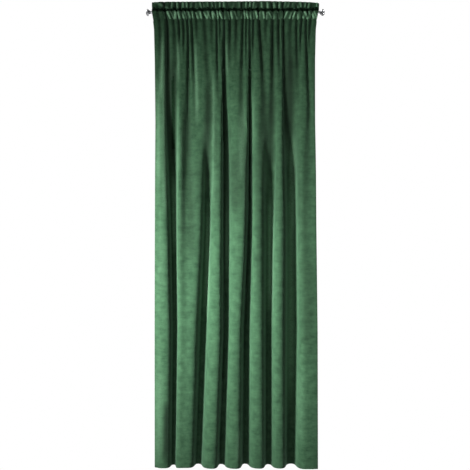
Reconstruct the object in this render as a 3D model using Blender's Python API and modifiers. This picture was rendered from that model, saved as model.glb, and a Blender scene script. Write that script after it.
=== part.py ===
# Velvet curtain, gathered by its rod pocket on a slim rod with a faceted crystal at each end.
# Metres, +Z up. X runs along the rod and the front of the curtain faces -Y.
# The origin is the middle of the rod's axis.

import math

import bmesh
import bpy
import numpy as np

MM = 0.001
COLLECTION_NAME = "velvet_curtain"

# Cloth: one ready-made panel, 1.40 m wide and about 2.5 m long when finished.
# Its top is turned over to the back, which makes the header and, below it, the rod pocket.
CLOTH_WIDTH = 1.400
CLOTH_THICKNESS = 0.0016
HEM_HEIGHT = -2.428
UPPER_STITCH = 0.014
LOWER_STITCH = -0.040
TURNING_END = -0.052
STITCH_GAP = 0.0064
HEADER_GAP = 0.0095

# Rod and finials
ROD_RADIUS = 0.008
ROD_HALF_LENGTH = 0.447
PIECE_GAP = 0.0003
COLLAR_LENGTH = 0.005
COLLAR_RIM_RADIUS = 0.0092
CRYSTAL_SIDES = 10

# Folds across the curtain at five heights: each crest and valley in turn, in mm from the middle.
# shallow, deep and low: share of FOLD_DEPTH, towards the back, at the three DEPTH_HEIGHTS, for a
# fold of the usual breadth; before and after: how far the turn stays flat on its left and on its
# right, first down to the first of those heights and then below the second.
FOLD_HEIGHTS = (-0.17, -0.52, -1.14, -1.70, -2.44)
FOLD_DEPTH = 0.034
DEPTH_HEIGHTS = (-0.40, -1.20, -1.80)
USUAL_BREADTH = 0.125
FOLDS = (
    # heading, upper, middle, lower, hem, shallow, deep, low, before, after, before, after
    (-398, -394, -378, -360, -376, -0.70, -0.85, -0.85, 0.80, 0.90, 0.80, 0.95),
    (-345, -338, -334, -328, -332, 0.60, 0.90, 0.90, 0.45, 0.75, 0.50, 0.70),
    (-309, -300, -296, -292, -308, -0.65, -0.95, -0.95, 0.10, 0.50, 0.50, 0.60),
    (-258, -259, -258, -260, -268, 0.05, -0.60, -0.90, 0.50, 0.30, 0.50, 0.40),
    (-216, -204, -198, -228, -248, -0.42, -0.72, -0.84, 0.40, 0.90, 0.50, 0.80),
    (-155, -140, -152, -174, -202, -0.70, 1.00, 1.00, 0.50, 0.40, 0.50, 0.45),
    (-86, -80, -82, -93, -120, -0.60, -0.95, -0.95, 0.70, 1.00, 0.95, 0.90),
    (-65, -64, -62, -53, -79, 0.90, 0.90, 0.90, 0.10, 0.20, 0.50, 0.45),
    (52, 57, 44, 10, 5, -0.65, -0.95, -0.95, 0.90, 0.95, 0.95, 0.85),
    (78, 79, 76, 58, 50, 0.95, 1.00, 1.00, 0.20, 0.20, 0.50, 0.45),
    (125, 122, 120, 125, 134, -0.70, -0.90, -0.90, 1.00, 0.70, 0.95, 0.65),
    (198, 200, 190, 181, 176, -0.66, 0.90, 0.90, 0.80, 0.80, 0.50, 0.50),
    (244, 242, 238, 230, 240, -0.60, -0.85, -0.85, 0.60, 0.80, 0.90, 0.65),
    (285, 300, 315, 318, 303, 0.30, 0.95, 1.00, 0.90, 0.60, 0.70, 0.50),
    (335, 346, 360, 374, 372, -0.70, -0.95, -1.05, 0.50, 0.70, 0.90, 0.85),
)
LEFT_EDGE_DEPTHS = (-0.20, -0.35, -0.35)
RIGHT_EDGE_DEPTHS = (-0.45, -0.85, -0.95)
EDGE_ROUND = 0.30
FOLD_GROWTH_LENGTH = 0.80
FOLD_GROWTH_EXPONENT = 1.5
ROUND_EXPONENT = 0.15
SCALE_TRIES = 24
LEAST_SCALE = 0.2
MOST_SCALE = (
    # drop below the lower stitching, the most that the folds are scaled there
    (0.00, 1.0),
    (0.20, 1.1),
    (0.45, 1.6),
    (0.70, 2.3),
)

# Side edges of the cloth, in mm from the middle
EDGES = (
    # height, left, right
    (57, -445, 448),
    (14, -444, 446),
    (0, -443, 443),
    (-40, -438, 434),
    (-93, -432, 428),
    (-254, -428, 424),
    (-600, -424, 423),
    (-1150, -427, 428),
    (-1700, -428, 434),
    (-2440, -428, 436),
)

# Small gathers that start at the stitching and run out further down.
# place: of the valley, in mm from the middle; run: how far down it reaches, in mm;
# share: depth beside the usual one, which is GATHER_DEPTH of the pitch between gathers;
# drift: how far to the right the valley has moved at DRIFT_LENGTH below the stitching, in mm.
# A wide gather is deeper than a narrow one, but less so than its pitch: PITCH_EXPONENT.
GATHER_DEPTH = 0.60
USUAL_PITCH = 0.029
PITCH_EXPONENT = 0.3
GATHERS = (
    # place, run, share, drift
    (-404, 500, 0.5, 0),
    (-366, 1300, 1.2, -3),
    (-328, 500, 0.6, 14),
    (-301, 250, 0.9, 0),
    (-278, 250, 1.0, 0),
    (-253, 1500, 1.1, -6),
    (-235, 800, 0.8, 12),
    (-205, 150, 0.5, 0),
    (-162, 1100, 0.5, 20),
    (-121, 200, 0.5, 0),
    (-98, 600, 1.0, 0),
    (-80, 200, 0.5, 0),
    (-60, 1300, 1.2, -5),
    (-28, 380, 0.8, 0),
    (9, 300, 0.6, 0),
    (44, 1400, 0.8, -6),
    (61, 350, 0.6, 0),
    (79, 1300, 1.0, 5),
    (97, 400, 0.8, 0),
    (127, 1200, 0.8, 44),
    (170, 200, 0.5, 0),
    (202, 1200, 0.9, 10),
    (234, 400, 0.8, 24),
    (256, 1300, 1.0, 20),
    (303, 250, 0.5, 0),
    (330, 700, 0.7, 22),
    (357, 350, 0.8, 0),
    (380, 1500, 0.8, 28),
    (403, 300, 0.7, 0),
)
COLUMNS_PER_GATHER = 4
GATHER_SHARPNESS = 1.5
GATHER_SCALE_LIMIT = 1.0
DRIFT_LENGTH = 0.45
SPREAD_LENGTH = 0.55
SPREAD_LIMIT = 2.2

# Rows of the sheet. Below COARSE_HEIGHT the folds are broad and every second column is left out.
DROP_HEIGHTS = (HEM_HEIGHT, -2.13, -1.82, -1.51, -1.22, -0.95, -0.71, -0.50, -0.33, -0.19, -0.10)
COARSE_HEIGHT = -0.25

# Rod pocket: reach is how near the cloth's innermost gathers come to the rod's middle plane.
POCKET = (
    # height, reach
    (-40, None),
    (-16, 6.5),
    (0, 11.0),
    (7, 9.0),
    (14, None),
)
POCKET_SLANT = 0.012
STRAIGHT_EDGE_SHARE = 0.125

# Header: how high the rows stand between the upper stitching and the top edge
HEADER_ROWS = (0.45, 0.90)
HEADER_LINE = (
    # place along X, height of the top edge, in mm
    (-445, 53),
    (-400, 57),
    (0, 59),
    (160, 61),
    (350, 57),
    (415, 54),
    (448, 48),
)

# Velvet green, chrome and clear crystal
VELVET_COLOR = (0.050, 0.115, 0.060, 1.0)
CHROME_COLOR = (0.62, 0.63, 0.65, 1.0)
CRYSTAL_COLOR = (0.80, 0.83, 0.86, 1.0)

FINE_STEPS = 2400
SPAN_STEPS = 24


def clear_scene():
    for old in list(bpy.data.objects):
        bpy.data.objects.remove(old, do_unlink=True)


def make_collection():
    collection = bpy.data.collections.new(COLLECTION_NAME)
    bpy.context.scene.collection.children.link(collection)
    return collection


def make_material(name, color, roughness, metallic):
    material = bpy.data.materials.new(name)
    material.use_nodes = True
    shader = material.node_tree.nodes["Principled BSDF"]
    shader.inputs["Base Color"].default_value = color
    shader.inputs["Roughness"].default_value = roughness
    shader.inputs["Metallic"].default_value = metallic
    return material


def smooth_step(value):
    value = np.clip(value, 0.0, 1.0)
    return value * value * (3.0 - 2.0 * value)


def edges_at(height):
    heights, lefts, rights = np.array(EDGES[::-1]).T * MM
    return np.interp(height, heights, lefts), np.interp(height, heights, rights)


def fold_growth(height):
    # The main folds start at the lower stitching and deepen on the way down
    drop = max(LOWER_STITCH - height, 0.0)
    return 1.0 - math.exp(-(drop / FOLD_GROWTH_LENGTH) ** FOLD_GROWTH_EXPONENT)


def fold_turns(height, scale):
    # Each turn of the main folds as (x, y, flat before, flat after), from the left to the right
    growth = fold_growth(height)
    depth = FOLD_DEPTH * growth * scale
    depth_heights = np.negative(DEPTH_HEIGHTS)
    lower = np.interp(-height, depth_heights[:2], (0.0, 1.0))
    left, right = edges_at(height)
    table = np.array(FOLDS, float)
    heights = len(FOLD_HEIGHTS)
    fold_heights = np.negative(FOLD_HEIGHTS)
    places = [np.interp(-height, fold_heights, row[:heights]) * MM for row in table]
    places = [left] + places + [right]
    left_depth = np.interp(-height, depth_heights, LEFT_EDGE_DEPTHS) * depth
    right_depth = np.interp(-height, depth_heights, RIGHT_EDGE_DEPTHS) * depth
    turns = [(left, left_depth, EDGE_ROUND, EDGE_ROUND)]
    for index, row in enumerate(table, start=1):
        share = np.interp(-height, depth_heights, row[heights:heights + 3])
        flat_above, flat_below = row[heights + 3:heights + 5], row[heights + 5:]
        flat = flat_above + (flat_below - flat_above) * lower
        before, after = 0.5 + (flat - 0.5) * growth ** ROUND_EXPONENT
        breadth = (places[index + 1] - places[index - 1]) / USUAL_BREADTH
        turns.append((places[index], share * depth * math.sqrt(breadth), before, after))
    turns.append((right, right_depth, EDGE_ROUND, EDGE_ROUND))
    return turns


def even_spacing(x, y):
    # The same line with its points at equal steps of cloth length
    lengths = np.concatenate(([0.0], np.cumsum(np.hypot(np.diff(x), np.diff(y)))))
    even = np.linspace(0.0, lengths[-1], FINE_STEPS)
    return np.interp(even, lengths, x), np.interp(even, lengths, y)


def main_folds(height, scale):
    # S-curves between the turns, level at each turn
    turns = fold_turns(height, scale)
    t = np.linspace(0.0, 1.0, SPAN_STEPS, endpoint=False)
    xs, ys = [], []
    for (x0, y0, _, after), (x1, y1, before, _) in zip(turns, turns[1:]):
        span = x1 - x0
        handle0 = x0 + after * span
        handle1 = x1 - before * span
        start, near, far, end = (1 - t) ** 3, 3 * (1 - t) ** 2 * t, 3 * (1 - t) * t ** 2, t ** 3
        xs.append(start * x0 + near * handle0 + far * handle1 + end * x1)
        ys.append((start + near) * y0 + (far + end) * y1)
    xs.append([turns[-1][0]])
    ys.append([turns[-1][1]])
    return even_spacing(np.concatenate(xs), np.concatenate(ys))


def gather_places():
    # Valley of each gather as a share of the cloth's width
    left, right = edges_at(LOWER_STITCH)
    return [(place * MM - left) / (right - left) for place, run, share, drift in GATHERS]


def gathers(share_of_width, height):
    # Depth of the gathers at one height, in metres towards the back, along the cloth's width
    drop = max(LOWER_STITCH - height, 0.0)
    left, right = edges_at(LOWER_STITCH)
    places = [0.0] + gather_places() + [1.0]
    depth = np.zeros_like(share_of_width)
    spread = min(1.0 + drop / SPREAD_LENGTH, SPREAD_LIMIT)
    for index, (place, run, share, drift) in enumerate(GATHERS, start=1):
        fading = 1.0 - smooth_step(drop / (run * MM))
        before = (places[index] - places[index - 1]) / 2
        after = (places[index + 1] - places[index]) / 2
        pitch = (before + after) * (right - left)
        size = USUAL_PITCH * (pitch / USUAL_PITCH) ** PITCH_EXPONENT
        moved = drift * MM / (right - left) * min(drop / DRIFT_LENGTH, 1.0)
        offset = share_of_width - places[index] - moved
        reach = np.where(offset < 0, before, after) * spread
        wave = 0.5 + 0.5 * np.cos(np.pi * np.clip(offset / reach, -1.0, 1.0))
        notch = wave ** GATHER_SHARPNESS
        depth += GATHER_DEPTH * share * size * fading * notch
    return depth


def section(height, scale):
    # Line of the cloth at one height, its depth centred on the rod
    x, y = main_folds(height, scale)
    run_x, run_y = np.gradient(x), np.gradient(y)
    length = np.hypot(run_x, run_y)
    notch = gathers(np.linspace(0.0, 1.0, FINE_STEPS), height) * min(scale, GATHER_SCALE_LIMIT)
    x = x - run_y / length * notch
    y = y + run_x / length * notch
    return x, y - (y.max() + y.min()) / 2


def cloth_length(height, scale):
    x, y = section(height, scale)
    return np.hypot(np.diff(x), np.diff(y)).sum()


def full_section(height):
    # Folds scaled to take up the whole width of the cloth, as far as MOST_SCALE lets them
    drops, limits = np.array(MOST_SCALE).T
    low, high = LEAST_SCALE, np.interp(LOWER_STITCH - height, drops, limits)
    for _ in range(SCALE_TRIES):
        middle = (low + high) / 2
        if cloth_length(height, middle) < CLOTH_WIDTH:
            low = middle
        else:
            high = middle
    return section(height, high)


def column_shares():
    # Columns of the sheet, with one on each gather's valley and one on each crest
    places = [0.0] + gather_places() + [1.0]
    shares = []
    for start, end in zip(places, places[1:]):
        shares.extend(np.linspace(start, end, COLUMNS_PER_GATHER, endpoint=False))
    return np.array(shares + [1.0])


def slant_at(height):
    # The gathers lean to the left on their way up through the pocket
    climb = (height - LOWER_STITCH) / (UPPER_STITCH - LOWER_STITCH)
    return -POCKET_SLANT * min(max(climb, 0.0), 1.0)


def cloth_row(height, shares):
    # x and y of the columns at one height
    x, y = full_section(height)
    along = np.linspace(0.0, 1.0, FINE_STEPS)
    from_edge = np.minimum(shares, 1.0 - shares)
    free = np.minimum(1.0, from_edge / STRAIGHT_EDGE_SHARE)
    x = np.interp(shares, along, x) + slant_at(height) * free
    return x, np.interp(shares, along, y)


def layer_offset(side, y, reach):
    # Shift of one layer from the shared line: -1 is the front layer, 1 is the back one
    if reach is None:
        return side * STITCH_GAP / 2
    innermost = (-side * y).max()
    return side * max(reach * MM + innermost, STITCH_GAP / 2)


def header_row(side, rise, shares):
    # One row of the header, whose top edge follows HEADER_LINE
    x, y = cloth_row(UPPER_STITCH, shares)
    left, right = edges_at(UPPER_STITCH)
    top_left, top_right = edges_at(HEADER_LINE[0][1] * MM)
    middle = (left + right) / 2
    flare = (top_right - top_left) / (right - left)
    x = middle + (x - middle) * (1.0 + (flare - 1.0) * rise)
    places, tops = np.array(HEADER_LINE).T * MM
    top = np.interp(x, places, tops)
    gap = STITCH_GAP + (HEADER_GAP - STITCH_GAP) * min(rise / HEADER_ROWS[0], 1.0)
    return x, y + side * gap / 2, UPPER_STITCH + (top - UPPER_STITCH) * rise


def sheet_rows(shares):
    # Rows of the sheet: up the front from the hem, over the header and down the back
    rows = []
    for height in DROP_HEIGHTS:
        x, y = cloth_row(height, shares)
        rows.append((x, y - STITCH_GAP / 2, np.full_like(x, height)))
    for side, pocket in ((-1, POCKET), (1, POCKET[::-1])):
        layer = []
        for height, reach in pocket:
            x, y = cloth_row(height * MM, shares)
            offset = layer_offset(side, y, reach)
            layer.append((x, y + offset, np.full_like(x, height * MM)))
        header = [header_row(side, rise, shares) for rise in HEADER_ROWS]
        if side < 0:
            rows += layer + header
            rows.append(header_row(0, 1.0, shares))
        else:
            rows += header[::-1] + layer
    x, y = cloth_row(TURNING_END, shares)
    rows.append((x, y + STITCH_GAP / 2, np.full_like(x, TURNING_END)))
    return rows


def thin_out_columns(mesh):
    # Broad folds need only every second column
    edges = []
    for edge in mesh.edges:
        first, second = edge.verts
        same_column = first.index % COLUMN_COUNT == second.index % COLUMN_COUNT
        low = max(first.co.z, second.co.z) < COARSE_HEIGHT and first.index < FRONT_VERTICES
        if same_column and low and first.index % COLUMN_COUNT % 2 == 1:
            edges.append(edge)
    bmesh.ops.dissolve_edges(mesh, edges=edges, use_verts=True)


SHARES = column_shares()
COLUMN_COUNT = len(SHARES)
FRONT_VERTICES = COLUMN_COUNT * len(DROP_HEIGHTS)


def make_curtain(collection):
    rows = sheet_rows(SHARES)
    mesh = bmesh.new()
    bmesh.ops.create_grid(mesh, x_segments=COLUMN_COUNT - 1, y_segments=len(rows) - 1, size=1.0)
    mesh.verts.ensure_lookup_table()
    for index, (x, y, z) in enumerate(rows):
        for column in range(COLUMN_COUNT):
            mesh.verts[index * COLUMN_COUNT + column].co = (x[column], y[column], z[column])
    mesh.verts.index_update()
    thin_out_columns(mesh)
    bmesh.ops.recalc_face_normals(mesh, faces=mesh.faces)
    data = bpy.data.meshes.new("curtain")
    mesh.to_mesh(data)
    mesh.free()
    data.shade_smooth()
    curtain = bpy.data.objects.new("curtain", data)
    collection.objects.link(curtain)
    curtain.data.materials.append(make_material("velvet", VELVET_COLOR, 0.9, 0.0))
    solidify = curtain.modifiers.new("cloth thickness", "SOLIDIFY")
    solidify.thickness = CLOTH_THICKNESS
    solidify.offset = 0.0
    solidify.use_even_offset = True
    return curtain


def make_rod(collection):
    bpy.ops.mesh.primitive_cylinder_add(
        vertices=24,
        radius=ROD_RADIUS,
        depth=2 * ROD_HALF_LENGTH,
        rotation=(0.0, math.pi / 2, 0.0),
    )
    rod = bpy.context.object
    rod.name = "rod"
    rod.data.materials.append(make_material("rod steel", CHROME_COLOR, 0.3, 1.0))
    rod.data.shade_smooth()
    rod.data.set_sharp_from_angle(angle=math.radians(40))
    move_to(collection, rod)
    return rod


def move_to(collection, item):
    for owner in item.users_collection:
        owner.objects.unlink(item)
    collection.objects.link(item)


def end_turn(side):
    # Rotation that points an object's own Z axis out of the rod's end
    return (0.0, side * math.pi / 2, 0.0)


def make_collar(collection, side, name):
    # Turned chrome collar, narrow at the rod and wider where it holds the crystal
    profile = (
        (0.0, COLLAR_LENGTH),
        (COLLAR_RIM_RADIUS, COLLAR_LENGTH),
        (COLLAR_RIM_RADIUS, COLLAR_LENGTH * 0.7),
        (ROD_RADIUS * 1.02, COLLAR_LENGTH * 0.4),
        (ROD_RADIUS * 1.02, 0.0),
        (0.0, 0.0),
    )
    data = bpy.data.meshes.new(name)
    points = [(radius, 0.0, height) for radius, height in profile]
    data.from_pydata(points, [(i, i + 1) for i in range(len(points) - 1)], [])
    collar = bpy.data.objects.new(name, data)
    collection.objects.link(collar)
    collar.location = (side * (ROD_HALF_LENGTH + PIECE_GAP), 0.0, 0.0)
    collar.rotation_euler = end_turn(side)
    turning = collar.modifiers.new("turning", "SCREW")
    turning.steps = 24
    turning.render_steps = 24
    turning.use_merge_vertices = True
    turning.merge_threshold = 0.00001
    collar.data.materials.append(make_material(name + " chrome", CHROME_COLOR, 0.15, 1.0))
    return collar


def make_crystal(collection, side, name):
    # Cut crystal: rings of corners, every second ring turned by half a side, joined by flat facets
    rings = (
        # distance from the collar, radius, half turn
        (0.0, 0.0080, 0),
        (0.009, 0.0142, 1),
        (0.0165, 0.0190, 0),
        (0.020, 0.0158, 1),
        (0.0245, 0.0088, 0),
    )
    step = 2 * math.pi / CRYSTAL_SIDES
    mesh = bmesh.new()
    for height, radius, half_turn in rings:
        for corner in range(CRYSTAL_SIDES):
            angle = step * (corner + half_turn / 2)
            mesh.verts.new((radius * math.cos(angle), radius * math.sin(angle), height))
    bmesh.ops.convex_hull(mesh, input=mesh.verts)
    bmesh.ops.dissolve_limit(mesh, angle_limit=0.01, verts=mesh.verts, edges=mesh.edges)
    data = bpy.data.meshes.new(name)
    mesh.to_mesh(data)
    mesh.free()
    crystal = bpy.data.objects.new(name, data)
    collection.objects.link(crystal)
    start = ROD_HALF_LENGTH + COLLAR_LENGTH + 2 * PIECE_GAP
    crystal.location = (side * start, 0.0, 0.0)
    crystal.rotation_euler = end_turn(side)
    crystal.data.materials.append(make_material(name + " glass", CRYSTAL_COLOR, 0.05, 0.0))
    return crystal


def main():
    clear_scene()
    collection = make_collection()
    make_curtain(collection)
    make_rod(collection)
    for side, end in ((-1, "left"), (1, "right")):
        make_collar(collection, side, "collar_" + end)
        make_crystal(collection, side, "crystal_" + end)


main()
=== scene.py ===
# A green velvet curtain, gathered by its rod pocket on a slim rod with a crystal at each end.
# Metres, +Z up. X runs along the rod, the front faces -Y and the origin is the middle of the rod.

import math
import random

import bmesh
import bpy
import numpy as np
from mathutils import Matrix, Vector


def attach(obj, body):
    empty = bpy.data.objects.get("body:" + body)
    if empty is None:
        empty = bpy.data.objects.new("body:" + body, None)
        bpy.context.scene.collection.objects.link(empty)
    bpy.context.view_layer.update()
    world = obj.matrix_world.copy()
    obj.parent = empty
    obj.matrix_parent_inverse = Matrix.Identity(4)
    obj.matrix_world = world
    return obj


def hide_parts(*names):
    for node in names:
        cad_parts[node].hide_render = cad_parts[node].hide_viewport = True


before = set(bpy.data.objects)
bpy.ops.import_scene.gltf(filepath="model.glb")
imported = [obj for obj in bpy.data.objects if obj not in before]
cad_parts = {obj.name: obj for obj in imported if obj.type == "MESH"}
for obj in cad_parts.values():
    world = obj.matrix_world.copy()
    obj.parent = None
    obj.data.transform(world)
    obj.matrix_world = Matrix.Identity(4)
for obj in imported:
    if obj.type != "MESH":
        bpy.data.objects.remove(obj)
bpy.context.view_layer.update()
bpy.ops.object.select_all(action="DESELECT")
mm = 0.001
print("frame loaded:", sorted(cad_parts))


# The photo's view

view = {
    "framePixels": 470,
    "metresPerPixel": 0.005353,
    "middleColumn": 235.3,       # pixel column of the rod's middle
    "rodRow": 12.6,              # pixel row of the rod's axis
    "distance": 3.50,            # from the lens to the rod
    "sensor": 36.0,
}


def makeCamera():
    halfFrame = view["framePixels"] / 2
    width = view["framePixels"] * view["metresPerPixel"]
    cameraData = bpy.data.cameras.new("photoCamera")
    cameraData.sensor_width = view["sensor"]
    cameraData.lens = view["sensor"] * view["distance"] / width
    camera = bpy.data.objects.new("photoCamera", cameraData)
    bpy.context.scene.collection.objects.link(camera)
    across = (halfFrame - view["middleColumn"]) * view["metresPerPixel"]
    height = (view["rodRow"] - halfFrame) * view["metresPerPixel"]
    camera.location = (across, -view["distance"], height)
    camera.rotation_euler = (math.pi / 2, 0.0, 0.0)
    bpy.context.scene.camera = camera


makeCamera()
print("camera placed")


# Small helpers

def smoothStep(value):
    value = np.clip(value, 0.0, 1.0)
    return value * value * (3.0 - 2.0 * value)


def smoothCurve(points, value):
    # A smooth line through the points of a short table of (place, amount)
    places, amounts = np.array(points, float).T
    slopes = np.gradient(amounts, places)
    value = np.clip(value, places[0], places[-1])
    left = np.clip(np.searchsorted(places, value, side="right") - 1, 0, len(places) - 2)
    step = places[left + 1] - places[left]
    t = (value - places[left]) / step
    rise = amounts[left] * (1 + 2 * t) * (1 - t) ** 2 + amounts[left + 1] * t * t * (3 - 2 * t)
    lean = slopes[left] * t * (1 - t) ** 2 - slopes[left + 1] * t * t * (1 - t)
    return rise + lean * step


def spacedOut(stations):
    # Places from a table of (start, end, step), each stretch at even steps near the one asked for
    places = []
    for start, end, step in stations:
        count = max(1, round(abs(end - start) / step))
        places.extend(np.linspace(start, end, count, endpoint=False))
    return places + [stations[-1][1]]


def selectOnly(piece):
    bpy.ops.object.select_all(action="DESELECT")
    piece.select_set(True)
    bpy.context.view_layer.objects.active = piece


def applyAll(piece):
    selectOnly(piece)
    for modifier in list(piece.modifiers):
        bpy.ops.object.modifier_apply(modifier=modifier.name)
    bpy.ops.object.transform_apply(location=True, rotation=True, scale=True)
    bpy.ops.object.select_all(action="DESELECT")


def smoothUnder(piece, degrees):
    # Smooth shading, apart from edges that are sharper than this
    selectOnly(piece)
    bpy.ops.object.shade_smooth_by_angle(angle=math.radians(degrees))
    bpy.ops.object.select_all(action="DESELECT")


def feed(node, inputs):
    # Each input takes a number, a colour or the output of another node
    for name, value in inputs.items():
        if isinstance(value, bpy.types.NodeSocket):
            node.id_data.links.new(value, node.inputs[name])
        else:
            node.inputs[name].default_value = value


def addNode(nodes, kind, output, inputs=None, **settings):
    # A new node with these settings and inputs, of which one output is used
    node = nodes.new("ShaderNode" + kind)
    for name, value in settings.items():
        setattr(node, name, value)
    feed(node, inputs or {})
    return node.outputs[output]


def addNoise(nodes, place, scale, detail, broken=0.5, stretch=(1.0, 1.0, 1.0)):
    if stretch != (1.0, 1.0, 1.0):
        place = addNode(nodes, "Mapping", "Vector", {"Vector": place, "Scale": stretch})
    return addNode(nodes, "TexNoise", "Fac",
                   {"Vector": place, "Scale": scale, "Detail": detail, "Roughness": broken})


def addRange(nodes, value, given=(0.0, 1.0), wanted=(0.0, 1.0)):
    ends = {"From Min": given[0], "From Max": given[1], "To Min": wanted[0], "To Max": wanted[1]}
    return addNode(nodes, "MapRange", "Result", {"Value": value, **ends})


def mixColors(nodes, factor, first, second):
    return addNode(nodes, "Mix", "Result", {"Factor": factor, "A": first, "B": second}, data_type="RGBA")


def addBump(nodes, height, strength, depth):
    return addNode(nodes, "Bump", "Normal", {"Height": height, "Strength": strength, "Distance": depth})


def dimmed(color, share):
    return [share * part for part in color[:3]] + [1.0]


def newMaterial(name, finish):
    # The finish is set on the shader's own sockets
    material = bpy.data.materials.new(name)
    material.use_nodes = True
    nodes = material.node_tree.nodes
    feed(nodes["Principled BSDF"], finish)
    return material, nodes, nodes["Principled BSDF"]


# The curtain

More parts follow.
